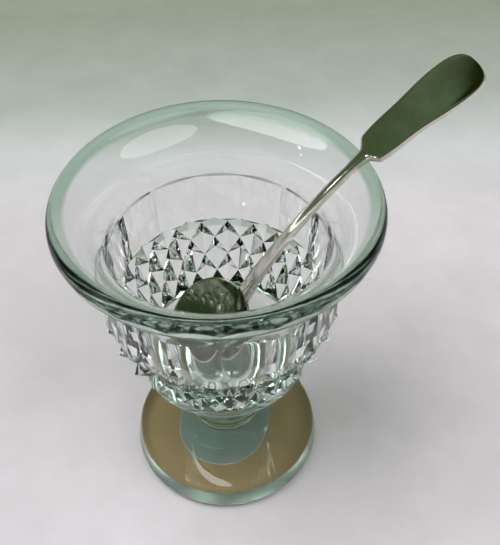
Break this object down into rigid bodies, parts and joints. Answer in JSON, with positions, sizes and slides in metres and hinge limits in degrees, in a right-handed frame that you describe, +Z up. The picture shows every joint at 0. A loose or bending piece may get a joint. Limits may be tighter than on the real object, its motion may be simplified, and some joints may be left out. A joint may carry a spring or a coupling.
{
  "type": "cut glass condiment tub",
  "caption": "Small footed tub of clear cut glass with a flared lip, flat panels and a diamond band, holding a silver condiment spoon with a fiddle pattern handle.",
  "frame": {"origin": "on the tub's axis in the plane of the flat ring that the foot rests on", "axes": "+Z up along the tub's axis; +X is the side over which the spoon leans; +Y is the back, away from the viewer"},
  "size_m": [0.1096, 0.085, 0.1297],
  "materials": {
    "glass": "clear soda-lime table glass, fire polished outside the cutting, wheel cut and polished panels and diamonds, faint green in thick edges",
    "silver": "hand worn sterling silver, soft polish with fine scratches and light tarnish in the hollows"
  },
  "bodies": {
    "tub": {"bowl": "glass", "collar": "glass", "stem": "glass", "foot": "glass"},
    "spoon": {"spoon": "silver"}
  },
  "joints": [
    {"name": "spoon_lift", "type": "slide", "parent": "tub", "child": "spoon", "axis": [0, 0, 1], "range_m": [0, 0.065]}
  ]
}
